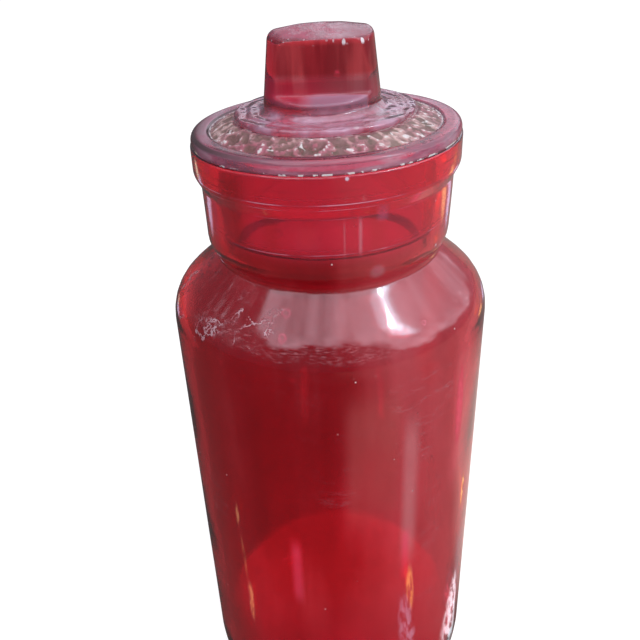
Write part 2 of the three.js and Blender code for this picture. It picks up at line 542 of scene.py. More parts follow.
# A few round spots of one in a scatter of cells, or rings where hollow is more than nought
def addSpots(tree, place, scale, radius, few, hollow=0.0):
    cells = addNode(tree, "TexVoronoi", {"Vector": place, "Scale": scale}).outputs
    near = addRange(tree, cells["Distance"], radius, 0.8 * radius)
    if hollow:
        near = addMask(tree, near, addRange(tree, cells["Distance"], 0.8 * hollow, hollow))
    chance = addNode(tree, "SeparateColor", {"Color": cells["Color"]}).outputs["Red"]
    return addMask(tree, near, addMath(tree, "LESS_THAN", chance, few))


# Thin wandering lines of one where a noise passes through its middle value
def addLines(tree, value, width):
    away = addMath(tree, "SUBTRACT", value, 0.5)
    away = addMath(tree, "ABSOLUTE", away, 0.0)
    return addRange(tree, away, 0.4 * width, width, 1.0, 0.0)


# One at a place that is given in mm, falling to nought at the radius
def addNear(tree, place, middle, radius, soft):
    away = addNode(tree, "VectorMath", {0: place, 1: Vector(middle) * mm}, operation="DISTANCE")
    return addRange(tree, away.outputs["Value"], radius * mm, radius * mm * (1 - soft), smooth=True)


# The level as the leaning rings of the head have it
def addHeadLevel(tree, apart):
    return addMath(tree, "SUBTRACT", apart["Z"], addMask(tree, apart["X"], head["rise"]))


# Per piece: the deep and pale tones of the drift across, the bright bottom, the top tint and the left edge
# tone are painted light and shade; the absorption is the glass's own tint
bodyGlass = {
    "paintedLeftEdge": (0.40, 0.10, 0.14),
    "shadedDeep": (0.49, 0.065, 0.12),
    "litPale": (0.72, 0.50, 0.57),
    "bright": (0.72, 0.13, 0.28),
    "top": (0.98, 0.305, 0.60),
    "absorb": (0.975, 0.35, 0.42),
    "density": 240.0,
    "haze": 0.05,
    "rough": (0.02, 0.09),
    "ripple": 0.07 * mm,
    "coatRipple": 0.35 * mm,
    "relief": 0.06 * mm,
    "paintedLeftEdgeAcross": (-46 * mm, -34 * mm),
    "paintedLeftEdgeBelow": (205 * mm, 192 * mm),
    "paintedLightAcross": (-4 * mm, 34 * mm),
    "low": (112 * mm, 25 * mm),
    "topLevel": (223 * mm, 230 * mm),
    "streakScale": 75.0,
    "streaks": 0.35,
    "depositAndGlint": (0.86, 0.78, 0.78),
    "coat": (190 * mm, 200 * mm),
}
stopperGlass = {
    "paintedLeftEdge": (0.72, 0.36, 0.46),
    "shadedDeep": (0.97, 0.43, 0.60),
    "litPale": (1.0, 0.54, 0.68),
    "bright": (0.90, 0.25, 0.40),
    "top": (0.92, 0.36, 0.52),
    "absorb": (0.98, 0.22, 0.42),
    "density": 110.0,
    "haze": 0.10,
    "rough": (0.02, 0.10),
    "ripple": 0.08 * mm,
    "coatRipple": 0.5 * mm,
    "relief": 0.55 * mm,
    "paintedLeftEdgeAcross": (-50 * mm, -42 * mm),
    "paintedLeftEdgeBelow": (300 * mm, 290 * mm),
    "paintedLightAcross": (-45 * mm, 45 * mm),
    "low": (50 * mm, 20 * mm),
    "topLevel": (254 * mm, 256 * mm),
    "streakScale": 90.0,
    "streaks": 0.3,
    "depositAndGlint": (0.90, 0.84, 0.84),
    "coat": (251 * mm, 254 * mm),
}
gripGlass = {
    "paintedLeftEdge": (0.80, 0.14, 0.30),
    "shadedDeep": (0.22, 0.075, 0.115),
    "litPale": (0.44, 0.30, 0.33),
    "bright": (0.86, 0.26, 0.42),
    "top": (0.86, 0.36, 0.46),
    "absorb": (0.97, 0.05, 0.17),
    "density": 85.0,
    "haze": 0.06,
    "rough": (0.02, 0.07),
    "ripple": 0.08 * mm,
    "coatRipple": 0.25 * mm,
    "relief": 0.5 * mm,
    "paintedLeftEdgeAcross": (-18.5 * mm, -13 * mm),
    "paintedLeftEdgeBelow": (300 * mm, 290 * mm),
    "paintedLightAcross": (-30 * mm, 26 * mm),
    "low": (272 * mm, 266 * mm),
    "topLevel": (282.5 * mm, 284.5 * mm),
    "streakScale": 190.0,
    "streaks": 1.3,
    "depositAndGlint": (0.94, 0.86, 0.90),
    "coat": (267 * mm, 264.5 * mm),
}
# What the three share: a noise is its scale, detail and roughness, and a span or range is addRange's
allGlass = {
    "clouds": (24.0, 3.0),
    "wander": (0.3, 0.7, -0.25, 0.25),
    "lit": (0.3, 0.7, 0.35, 1.0),
    "streakStretch": 0.1,
    "streakDetail": 3.0,
    "streakSpan": (0.3, 0.7),
    "rings": (80.0, 0.11, 0.3, 0.06),
    "specks": (150.0, 0.045, 0.22),
    "smudges": (60.0, 4.0),
    "smudgeSpan": (0.45, 0.75),
    "waves": (42.0, 1.5),
    "seeds": (420.0, 2.0),
    "seedRelief": 0.01 * mm,
    "refraction": 1.5,
    "coatRough": 0.11,
}


# Tinted glass: the tint drifts from left to right and down the piece, with drawn streaks, seeds and specks;
# the drift from a darker left to a paler right, the brighter bottom, the tint at the top and the tone at the
# left edge are painted light and shade
def rubyGlass(name, glass, finishOff):
    material, tree = newMaterial(name)
    place = addNode(tree, "TexCoord", {}).outputs["Object"]
    apart = addSplit(tree, place)
    clouds = addNoise(tree, place, *allGlass["clouds"])
    wander = addRange(tree, clouds, *allGlass["wander"])
    stretched = addStretch(tree, place, allGlass["streakStretch"])
    streaks = addNoise(tree, stretched, glass["streakScale"], allGlass["streakDetail"])
    drawn = addRange(tree, streaks, *allGlass["streakSpan"], -glass["streaks"], glass["streaks"])
    # Painted light and shade: darker on the left, paler on the right
    paintedLightAcross = addRange(tree, apart["X"], *glass["paintedLightAcross"], smooth=True)
    share = addMath(tree, "ADD", addMath(tree, "ADD", paintedLightAcross, wander), drawn)
    colour = addMix(tree, addRange(tree, share, 0.0, 1.0), glass["shadedDeep"], glass["litPale"])
    # Painted light: brighter towards the bottom, where clouds are lit
    low = addRange(tree, apart["Z"], *glass["low"], smooth=True)
    lit = addRange(tree, addMath(tree, "ADD", clouds, wander), *allGlass["lit"])
    colour = addMix(tree, addMask(tree, low, lit), colour, glass["bright"])
    # Painted light: a tint of its own at the top
    top = addRange(tree, apart["Z"], *glass["topLevel"], smooth=True)
    colour = addMix(tree, top, colour, glass["top"])
    # Painted light and shade: a tone of its own at the left edge
    paintedLeftEdge = addRange(tree, apart["X"], *glass["paintedLeftEdgeAcross"], 1.0, 0.0, smooth=True)
    below = addRange(tree, apart["Z"], *glass["paintedLeftEdgeBelow"], smooth=True)
    colour = addMix(tree, addMask(tree, paintedLeftEdge, below), colour, glass["paintedLeftEdge"])
    colour = addMix(tree, addSpots(tree, place, *allGlass["rings"]), colour, glass["bright"])
    specks = addSpots(tree, place, *allGlass["specks"])
    colour = addMix(tree, specks, colour, glass["depositAndGlint"])
    clear = addMath(tree, "SUBTRACT", 1.0 - glass["haze"], specks)
    smudges = addNoise(tree, place, *allGlass["smudges"])
    rough = addRange(tree, smudges, *allGlass["smudgeSpan"], *glass["rough"])
    colour, clear, rough, relief, coated = finishOff(tree, place, apart, colour, clear, rough)
    waves = addNoise(tree, place, *allGlass["waves"])
    seeds = addBump(tree, addNoise(tree, place, *allGlass["seeds"]), allGlass["seedRelief"])
    carved = addBump(tree, relief, glass["relief"], seeds)
    shader = addNode(tree, "BsdfPrincipled", {
        "Base Color": colour,
        "Roughness": rough,
        "Transmission Weight": clear,
        "IOR": allGlass["refraction"],
        "Normal": addBump(tree, waves, glass["ripple"], carved),
        "Coat Weight": addMask(tree, addRange(tree, apart["Z"], *glass["coat"]), coated),
        "Coat Roughness": allGlass["coatRough"],
        "Coat Normal": addBump(tree, waves, glass["coatRipple"], carved),
    })
    tint = {"Color": (*glass["absorb"], 1), "Density": glass["density"]}
    absorb = addNode(tree, "VolumeAbsorption", tint)
    outputs = {"Surface": shader.outputs["BSDF"], "Volume": absorb.outputs["Volume"]}
    addNode(tree, "OutputMaterial", outputs)
    return material


bodyPaintedLightAndBubbles = {
    # Upright patches of painted light and shade in the wall, painted highlights, painted reflections and a
    # darker painted shade: middle, half width, lowest and highest level in mm, colour, strength, cover
    "patches": [
        ((-14, 17, 100, 190), (0.40, 0.04, 0.08), 0.9, 0.0),
        ((13, 12, 122, 192), (0.64, 0.42, 0.40), 0.85, 0.05),
        ((26, 4.4, 96, 180), (0.86, 0.62, 0.64), 0.9, 0.22),
        ((45, 5.4, 122, 204), (1.0, 0.38, 0.48), 1.0, 0.12),
        ((25, 2.4, 90, 124), (1.0, 0.40, 0.60), 1.0, 0.0),
        ((-15, 3.2, 84, 124), (1.0, 0.15, 0.30), 0.9, 0.28),
        ((51, 3.6, 36, 100), (1.0, 0.52, 0.60), 1.0, 0.30),
        ((-52, 8, 192, 218), (1.0, 0.30, 0.34), 1.0, 0.0),
        ((-35, 13, 222, 256), (0.60, 0.16, 0.26), 0.9, 0.0),
        ((-17, 4, 225, 246), (0.82, 0.26, 0.41), 0.7, 0.0),
        ((15, 4, 225, 245), (0.84, 0.33, 0.48), 0.7, 0.0),
        ((33, 5, 225, 256), (0.84, 0.26, 0.41), 0.8, 0.0),
        ((5.0, 0.5, 225, 240), (1.0, 0.60, 0.66), 0.7, 0.18),
        ((9.8, 0.9, 226, 241), (1.0, 0.60, 0.66), 0.8, 0.30),
        ((16.5, 2.4, 237, 244), (1.0, 0.16, 0.34), 0.9, 0.35),
        ((-6, 5, 229, 238), (1.0, 0.14, 0.22), 0.7, 0.12),
    ],
    "sideSoft": (0.9, 6 * mm),  # share of the half width, and the most
    "levelSoft": 0.25,
    "brokenStretch": 0.35,
    "broken": ((150.0, 4.0), (0.34, 0.50, 0.8, 1.0)),
    "heelGlowBand": (-2 * mm, 27 * mm, 3 * mm),
    "heelGlowBehind": (-25 * mm, 35 * mm),
    "heelGlowColour": (1.0, 0.22, 0.38),
    # Bubbles that show as small uneven red rings: middle and radius in mm
    "bubbles": [((-14, -43, 209), 1.6), ((-15, -49, 203), 1.3), ((2, -48, 204), 0.6), ((30, -42, 203), 0.8)],
    "bubbleRed": (1.0, 0.10, 0.22),
    "bubbleCover": 0.45,
    "bubbleSoft": (0.5, 0.6),  # outside and inside of the ring
    "bubbleRim": 1.4,
    "wobbleScale": 300.0,
    "wobble": 1 * mm,
}


# Coordinates that stray a little to all sides, for uneven rings
def addWobble(tree, place, scale, reach):
    stray = addNode(tree, "TexNoise", {"Vector": place, "Scale": scale}).outputs["Color"]
    shifted = addNode(tree, "VectorMath", {0: place, 1: [reach] * 3}, operation="SUBTRACT")
    values = {0: stray, 1: [2 * reach] * 3, 2: shifted.outputs["Vector"]}
    return addNode(tree, "VectorMath", values, operation="MULTIPLY_ADD").outputs["Vector"]


# Each kind of mark gives the colour and how much of the clear glass it covers: the upright patches and the
# red glow at the heel are painted light and shade, and the bubbles are the glass's own
def addBodyPaintedLightAndBubbles(tree, place, apart, colour):
    stretched = addStretch(tree, place, bodyPaintedLightAndBubbles["brokenStretch"])
    broken = addPatches(tree, stretched, *bodyPaintedLightAndBubbles["broken"])
    softShare, softMost = bodyPaintedLightAndBubbles["sideSoft"]
    covered = 0.0
    # Painted highlights, painted reflections and painted shade in upright patches
    for lengths, tint, strength, cover in bodyPaintedLightAndBubbles["patches"]:
        middle, half, low, high = (length * mm for length in lengths)
        upright = addBand(tree, apart["X"], middle - half, middle + half, min(softShare * half, softMost))
        level = addBand(tree, apart["Z"], low, high, bodyPaintedLightAndBubbles["levelSoft"] * (high - low))
        mask = addMask(tree, upright, level, broken, strength)
        colour = addMix(tree, mask, colour, tint)
        covered = addMost(tree, addMask(tree, mask, cover), covered)
    # Painted light: a red glow in a band round the heel, at the back
    behind = addRange(tree, apart["Y"], *bodyPaintedLightAndBubbles["heelGlowBehind"], smooth=True)
    heel = addMask(tree, addBand(tree, apart["Z"], *bodyPaintedLightAndBubbles["heelGlowBand"]), behind, broken)
    colour = addMix(tree, heel, colour, bodyPaintedLightAndBubbles["heelGlowColour"])
    wobbly = addWobble(tree, place, bodyPaintedLightAndBubbles["wobbleScale"], bodyPaintedLightAndBubbles["wobble"])
    outside, inside = bodyPaintedLightAndBubbles["bubbleSoft"]
    for middle, radius in bodyPaintedLightAndBubbles["bubbles"]:
        disc = addNear(tree, wobbly, middle, bodyPaintedLightAndBubbles["bubbleRim"] * radius, outside)
        ring = addMath(tree, "SUBTRACT", disc, addNear(tree, wobbly, middle, radius, inside))
        ring = addMask(tree, ring, broken)
        colour = addMix(tree, ring, colour, bodyPaintedLightAndBubbles["bubbleRed"])
        covered = addMost(tree, covered, addMask(tree, ring, bodyPaintedLightAndBubbles["bubbleCover"]))
    return colour, covered


bodyGlints = {
    # Painted highlight lines round the neck: level, half height and strength
    "neckHighlightLines": [
        (245.0 * mm, 0.30 * mm, 0.80),
        (243.2 * mm, 0.22 * mm, 0.60),
        (239.7 * mm, 0.15 * mm, 0.35),
        (228.0 * mm, 0.24 * mm, 0.55),
    ],
    "neckHighlightTint": (1.0, 0.62, 0.74),
    "patchy": ((70.0, 3.0), (0.42, 0.60, 0.1, 1.0)),
    # Chips that catch the light, painted as pale glints: middle and radius in mm, and strength
    "chipGlints": [((6, -45, 252.8), 0.9, 0.9), ((35.5, -24, 221.6), 0.9, 0.9), ((15, -39, 220.5), 3.4, 0.25)],
    "chipGlintSoft": 0.6,
    "scuffStretch": 5.0,
    "scuffs": (45.0, 4.0, 0.6),
    "scuffWidth": 0.012,
    "scuffPlaces": ((30.0, 3.0), (0.50, 0.62)),
    "scuffBand": (40 * mm, 198 * mm, 20 * mm),
    "scuffStrength": 0.16,
}


# Painted highlight lines round the neck, chips with painted glints, and scuffs in the clear glass
def addGlints(tree, place, apart, colour):
    level = addHeadLevel(tree, apart)
    patchy = addPatches(tree, place, *bodyGlints["patchy"])
    covered = 0.0
    # Painted highlights: thin broken lines round the neck
    for middle, half, strength in bodyGlints["neckHighlightLines"]:
        line = addBand(tree, level, middle - half, middle + half, half)
        covered = addMost(tree, addMask(tree, line, patchy, strength), covered)
    colour = addMix(tree, covered, colour, bodyGlints["neckHighlightTint"])
    # Chips with painted glints
    for middle, radius, strength in bodyGlints["chipGlints"]:
        chipGlint = addMask(tree, addNear(tree, place, middle, radius, bodyGlints["chipGlintSoft"]), strength)
        colour = addMix(tree, chipGlint, colour, reflectionLinesAndScuffs["colour"])
        covered = addMost(tree, covered, chipGlint)
    scuffs = addNoise(tree, addStretch(tree, place, bodyGlints["scuffStretch"]), *bodyGlints["scuffs"])
    scuffs = addLines(tree, scuffs, bodyGlints["scuffWidth"])
    here = addPatches(tree, place, *bodyGlints["scuffPlaces"])
    wall = addBand(tree, apart["Z"], *bodyGlints["scuffBand"])
    scuffs = addMask(tree, scuffs, here, wall, bodyGlints["scuffStrength"])
    return addMix(tree, scuffs, colour, reflectionLinesAndScuffs["colour"]), addMost(tree, covered, scuffs)


# Thin pale lines of painted reflection on the left of the shoulder; the same colour paints the glints and the
# scuffs
reflectionLinesAndScuffs = {
    "colour": (0.88, 0.82, 0.88),
    "fromLeft": (-12 * mm, -18 * mm),
    "band": (193 * mm, 213 * mm, 4 * mm),
    "lines": (75.0, 5.0, 0.6),
    "width": 0.016,
    "places": ((70.0, 3.0), (0.50, 0.60)),
    "strength": 0.65,
}


# Painted light and shade patches and bubbles in the wall, painted glints and scuffs, and thin pale lines of
# painted reflection in a patch on the left of the shoulder
def bodyPaintedLightAndMarks(tree, place, apart, colour, clear, rough):
    colour, paintedAndBubbled = addBodyPaintedLightAndBubbles(tree, place, apart, colour)
    colour, glinting = addGlints(tree, place, apart, colour)
    # Painted reflection: thin pale wavy lines, with a little relief, on the left of the shoulder
    patch = addRange(tree, apart["X"], *reflectionLinesAndScuffs["fromLeft"], smooth=True)
    lines = addLines(tree, addNoise(tree, place, *reflectionLinesAndScuffs["lines"]), reflectionLinesAndScuffs["width"])
    here = addPatches(tree, place, *reflectionLinesAndScuffs["places"])
    relief = addMask(tree, patch, addBand(tree, apart["Z"], *reflectionLinesAndScuffs["band"]), lines, here)
    mask = addMask(tree, relief, reflectionLinesAndScuffs["strength"])
    colour = addMix(tree, mask, colour, reflectionLinesAndScuffs["colour"])
    covered = addMost(tree, paintedAndBubbled, glinting, mask)
    return colour, addMath(tree, "SUBTRACT", clear, covered), rough, relief, 1.0


crust = {
    "rose": (0.48, 0.14, 0.18),
    "tan": (0.74, 0.50, 0.46),
    "chalkAndHighlight": (1.0, 0.97, 0.95),
    "olive": (0.115, 0.085, 0.05),
    "spread": (38.0, 2.0),
    "patches": (210.0, 4.0, 0.6),
    "grains": (480.0, 4.0, 0.65),
    "roseSpan": (0.42, 0.58),
    "oliveRange": (0.54, 0.60, 0.0, 0.9),
    "hollowRange": (0.30, 0.50, 0.75, 0.0),
    "grainRange": (0.38, 0.46, 0.5, 0.0),
    "chalkFolds": (0.54, 0.70),
    "chalkGrains": (0.44, 0.52),
    "coverRange": (0.3, 0.55, 0.8, 0.97),
    "rough": 0.35,
    "coated": 0.2,
}
bead = {
    "red": (0.86, 0.14, 0.32),
    "lilacSheen": (0.66, 0.48, 0.56),
    "darkReflection": (0.13, 0.055, 0.06),
    "darkReflectionRange": (-42 * mm, -33 * mm, 0.95, 0.0),
    "crest": (0.10, 0.062, 0.065),
    "crestRange": (-40 * mm, 6 * mm, 0.95, 0.4),
    "band": (lipTop, lipTop + 4.2 * mm, 1.2 * mm),
    "dustStretch": 3.0,
    "dustAndSheen": (70.0, 4.0, 0.6),
    "dustRange": (0.35, 0.65, 0.15, 0.6),
    "lilacSpan": (0.44, 0.60),
    "joint": (lipTop - 0.1 * mm, lipTop + 0.9 * mm, 0.25 * mm),
    "chipGlints": (330.0, 3.0, 0.6),
    "chipGlintsAcross": (-40 * mm, 45 * mm, -0.10, 0.06),
    "chipGlintSpan": (0.50, 0.54),
    "edge": (0.03, 0.7, 0.12),
    "edgeStrength": 0.75,
    "edgeRange": (0.40, 0.52, 0.2, 1.0),
}


# A chalky and olive crust over the rough trough, placed by the attributes that were made with its folds:
# olive where the folds lie low, and chalk on the high folds, which is partly a painted highlight
def addCrust(tree, apart, trough, patches, grains, spread, colour):
    height = addAttribute(tree, "folds")
    tint = addMix(tree, addRange(tree, spread, *crust["roseSpan"]), crust["tan"], crust["rose"])
    olive = addRange(tree, addMath(tree, "ADD", patches, apart["X"]), *crust["oliveRange"])
    hollow = addRange(tree, height, *crust["hollowRange"])
    tint = addMix(tree, addMost(tree, olive, hollow), tint, crust["olive"])
    tint = addMix(tree, addRange(tree, grains, *crust["grainRange"]), tint, crust["olive"])
    # Chalk on the high folds, partly a painted highlight
    chalky = addRange(tree, height, *crust["chalkFolds"])
    chalky = addMask(tree, chalky, addRange(tree, grains, *crust["chalkGrains"]))
    tint = addMix(tree, chalky, tint, crust["chalkAndHighlight"])
    mask = addMask(tree, trough, addRange(tree, grains, *crust["coverRange"]))
    return addMix(tree, mask, colour, tint), mask


# The bead is dusty, its lilac partly a painted reflection of the sky, with painted dark reflections along its
# crest and at its left end, and chipped where it meets the lip, with painted glints
def addBead(tree, place, apart, outer, colour):
    level = addHeadLevel(tree, apart)
    # Dust, and a painted lilac reflection of the sky
    dusty = addNoise(tree, addStretch(tree, place, bead["dustStretch"]), *bead["dustAndSheen"])
    cloudy = addRange(tree, dusty, *bead["dustRange"])
    mask = addMask(tree, addBand(tree, level, *bead["band"]), outer, cloudy)
    tint = addMix(tree, addRange(tree, dusty, *bead["lilacSpan"]), bead["red"], bead["lilacSheen"])
    # Painted reflection: dark grey at the bead's left end
    darkReflected = addRange(tree, apart["X"], *bead["darkReflectionRange"], smooth=True)
    tint = addMix(tree, darkReflected, tint, bead["darkReflection"])
    mask = addMost(tree, mask, addMask(tree, darkReflected, outer))
    colour = addMix(tree, mask, colour, tint)
    # Painted reflection: a dark band along the crest
    fading = addRange(tree, apart["X"], *bead["crestRange"], smooth=True)
    crest = addMask(tree, addAttribute(tree, "crest"), fading)
    colour = addMix(tree, crest, colour, bead["crest"])
    # Chips along the joint with the lip, with painted glints
    chipGlints = addNoise(tree, place, *bead["chipGlints"])
    chipGlints = addMath(tree, "ADD", chipGlints, addRange(tree, apart["X"], *bead["chipGlintsAcross"]))
    chipGlints = addRange(tree, chipGlints, *bead["chipGlintSpan"])
    joint = addMask(tree, addBand(tree, level, *bead["joint"]), outer, chipGlints)
    return addMix(tree, joint, colour, crust["chalkAndHighlight"]), addMost(tree, mask, crest, joint)


# The crust with a chalky line at its edges, partly a painted highlight, and the bead, which has most of the
# stopper's gloss and its painted reflections
def stopperCrustAndPaintedLight(tree, place, apart, colour, clear, rough):
    trough = addAttribute(tree, "crust")
    outer = addMath(tree, "SUBTRACT", 1.0, trough)
    spread = addNoise(tree, place, *crust["spread"])
    patches = addNoise(tree, place, *crust["patches"])
    grains = addNoise(tree, place, *crust["grains"])
    colour, crusted = addCrust(tree, apart, trough, patches, grains, spread, colour)
    colour, beaded = addBead(tree, place, apart, outer, colour)
    # A chalky line along the crust's edges, partly a painted highlight
    edge = addMask(tree, addBand(tree, trough, *bead["edge"]), bead["edgeStrength"])
    edge = addMask(tree, edge, addRange(tree, grains, *bead["edgeRange"]))
    colour = addMix(tree, edge, colour, crust["chalkAndHighlight"])
    clear = addMath(tree, "SUBTRACT", clear, addMost(tree, crusted, beaded, edge))
    rough = addMath(tree, "ADD", rough, addMask(tree, trough, crust["rough"]))
    relief = addMask(tree, addMath(tree, "ADD", grains, patches), trough)
    return colour, clear, rough, relief, addMask(tree, outer, crust["coated"])


bloomAndSheen = {
    "pink": (0.96, 0.32, 0.46),
    "lilacSheen": (0.88, 0.50, 0.68),
    "level": (265.5 * mm, 262.2 * mm),
    "share": 0.6,
    "clouds": (110.0, 4.0),
    "cloudRange": (0.35, 0.65, 0.4, 1.0),
    "lilacSpan": (0.42, 0.6),
    "ledgeHighlight": (0.56, 0.28, 0.40),
    "ledge": (263.5 * mm, 269.5 * mm, 1 * mm),
    "ledgeFrom": (12.2 * mm, 13.2 * mm),
    "ledgeAcross": (-9 * mm, -2 * mm),
    "root": (264.5 * mm, 275.0 * mm, 3.5 * mm),
    "rootFront": (-2 * mm, -7 * mm),
    "rootShare": 0.8,
    "rootLitRed": (0.60, 0.012, 0.04),
    "rootBrown": (0.40, 0.045, 0.06),
    "rootAcross": (-10 * mm, 6 * mm),
    "rings": {"Scale": 72.0, "Distortion": 5.0, "Detail": 3.0, "Detail Scale": 1.5},
}
wornAndGlints = {
    "level": (283.8 * mm, 285.2 * mm),
    "share": 0.55,
    "cloud": (0.86, 0.16, 0.28),
    "litPale": (0.92, 0.80, 0.86),
    "mottles": (260.0, 4.0, 0.6),
    "mottleSpan": (0.36, 0.62),
    "paleToRight": 12.0,
    "edge": (282.2 * mm, 286.2 * mm, 1.2 * mm),
    "dotStretch": 0.5,
    "dots": (340.0, 0.24, 0.30),
    "dustAndSheen": (700.0, 0.3, 0.3),
    "dustStrength": 0.5,
    "sparks": (240.0, 0.26, 0.3),
    "sparksAcross": (4 * mm, 14 * mm),
    # Painted glows and highlights: a red glow on the foot, white-blue highlights on the foot and a red glint
    # on the knob: middle and radius in mm, colour and strength
    "places": [
        ((-13, -20, 261.5), 7.0, (1.0, 0.04, 0.13), 0.8),
        ((17.5, -11.5, 262.5), 3.4, (0.90, 0.94, 1.0), 0.9),
        ((22, -16, 261.5), 4.4, (0.90, 0.92, 1.0), 0.9),
        ((22, 3, 262), 3.5, (0.90, 0.92, 1.0), 0.7),
        ((4.5, -12.0, 274.5), 1.5, (1.0, 0.03, 0.09), 0.9),
    ],
    "placeSoft": 0.8,
    "flecks": ((280.0, 3.0), (0.42, 0.56, 0.2, 1.0)),
}


# Dust and fine ripples make the thin foot of the grip milky, its pink and lilac partly a painted reflection
# of the sky, with a painted highlight on the ledge, over the red root of the knob's front, which is painted
# light: lit red on the left and brown on the right
def addBloomAndSheen(tree, apart, foot, clouds, uneven, colour):
    outwards = addMath(tree, "ABSOLUTE", apart["Y"], 0.0)
    # Painted highlight on the ledge below the pressed sides
    ledge = addBand(tree, apart["Z"], *bloomAndSheen["ledge"])
    ledge = addMask(tree, ledge, addRange(tree, outwards, *bloomAndSheen["ledgeFrom"]))
    ledge = addMask(tree, ledge, addRange(tree, apart["X"], *bloomAndSheen["ledgeAcross"], smooth=True))
    # Painted light at the root of the knob's front: lit red on the left, brown on the right
    toLeft = addRange(tree, apart["X"], *bloomAndSheen["rootAcross"], 1.0, 0.0, smooth=True)
    front = addRange(tree, apart["Y"], *bloomAndSheen["rootFront"])
    root = addMask(tree, addBand(tree, apart["Z"], *bloomAndSheen["root"]), front, bloomAndSheen["rootShare"])
    rootTint = addMix(tree, toLeft, bloomAndSheen["rootBrown"], bloomAndSheen["rootLitRed"])
    colour = addMix(tree, root, colour, rootTint)
    # The milky foot and ledge: dust, partly a painted reflection of the sky
    milkySheen = addMost(tree, foot, ledge)
    tint = addMix(tree, addRange(tree, clouds, *bloomAndSheen["lilacSpan"]), bloomAndSheen["pink"], bloomAndSheen["lilacSheen"])
    tint = addMix(tree, ledge, tint, bloomAndSheen["ledgeHighlight"])
    covered = addMost(tree, addMask(tree, milkySheen, uneven, bloomAndSheen["share"]), root)
    return addMix(tree, milkySheen, colour, tint), covered


# The knob's worn top is mottled and paler to the right as a painted reflection, its edge glints with painted
# dots, and painted glows and highlights show on the foot and the knob
def addWearAndGlints(tree, place, apart, foot, top, mottled, colour):
    colour = addMix(tree, top, colour, addMix(tree, mottled, wornAndGlints["cloud"], wornAndGlints["litPale"]))
    edge = addBand(tree, apart["Z"], *wornAndGlints["edge"])
    # Painted glints: dots and fine dust along the top edge, and sparks on the foot's right
    dots = addSpots(tree, addStretch(tree, place, wornAndGlints["dotStretch"]), *wornAndGlints["dots"])
    dustAndSheen = addMask(tree, addSpots(tree, place, *wornAndGlints["dustAndSheen"]), edge, wornAndGlints["dustStrength"])
    toRight = addRange(tree, apart["X"], *wornAndGlints["sparksAcross"])
    sparks = addMask(tree, addSpots(tree, place, *wornAndGlints["sparks"]), foot, toRight)
    dots = addMost(tree, addMask(tree, dots, edge), dustAndSheen, sparks)
    colour = addMix(tree, dots, colour, gripGlass["depositAndGlint"])
    flecks = addPatches(tree, place, *wornAndGlints["flecks"])
    # Painted glows and highlights on the foot and the knob
    for middle, radius, tint, strength in wornAndGlints["places"]:
        spot = addMask(tree, addNear(tree, place, middle, radius, wornAndGlints["placeSoft"]), flecks, strength)
        colour = addMix(tree, spot, colour, tint)
        dots = addMost(tree, dots, spot)
    return colour, addMost(tree, dots, top)


# The bloom with its painted sheen, the wear with its painted glints and glows, and the foot's fine ripples
def gripWearAndPaintedLight(tree, place, apart, colour, clear, rough):
    foot = addRange(tree, apart["Z"], *bloomAndSheen["level"], smooth=True)
    clouds = addNoise(tree, place, *bloomAndSheen["clouds"])
    uneven = addRange(tree, clouds, *bloomAndSheen["cloudRange"])
    colour, bloomedAndLit = addBloomAndSheen(tree, apart, foot, clouds, uneven, colour)
    top = addRange(tree, apart["Z"], *wornAndGlints["level"], smooth=True)
    top = addMask(tree, top, uneven, wornAndGlints["share"])
    # Paler towards the right: a painted reflection
    mottled = addMask(tree, apart["X"], wornAndGlints["paleToRight"])
    mottled = addMath(tree, "ADD", addNoise(tree, place, *wornAndGlints["mottles"]), mottled)
    mottled = addRange(tree, mottled, *wornAndGlints["mottleSpan"])
    colour, wornAndGlinting = addWearAndGlints(tree, place, apart, foot, top, mottled, colour)
    values = {"Vector": place, **bloomAndSheen["rings"]}
    ripples = addNode(tree, "TexWave", values, wave_type="RINGS", rings_direction="Z")
    relief = addMask(tree, ripples.outputs["Fac"], foot)
    relief = addMath(tree, "ADD", relief, addMask(tree, mottled, top))
    clear = addMath(tree, "SUBTRACT", clear, addMost(tree, bloomedAndLit, wornAndGlinting))
    return colour, clear, rough, relief, 1.0


jarPiece.data.materials.append(rubyGlass("bodyRuby", bodyGlass, bodyPaintedLightAndMarks))
stopperPiece.data.materials.append(rubyGlass("stopperRuby", stopperGlass, stopperCrustAndPaintedLight))
gripPiece.data.materials.append(rubyGlass("gripRuby", gripGlass, gripWearAndPaintedLight))
print("glass coloured")

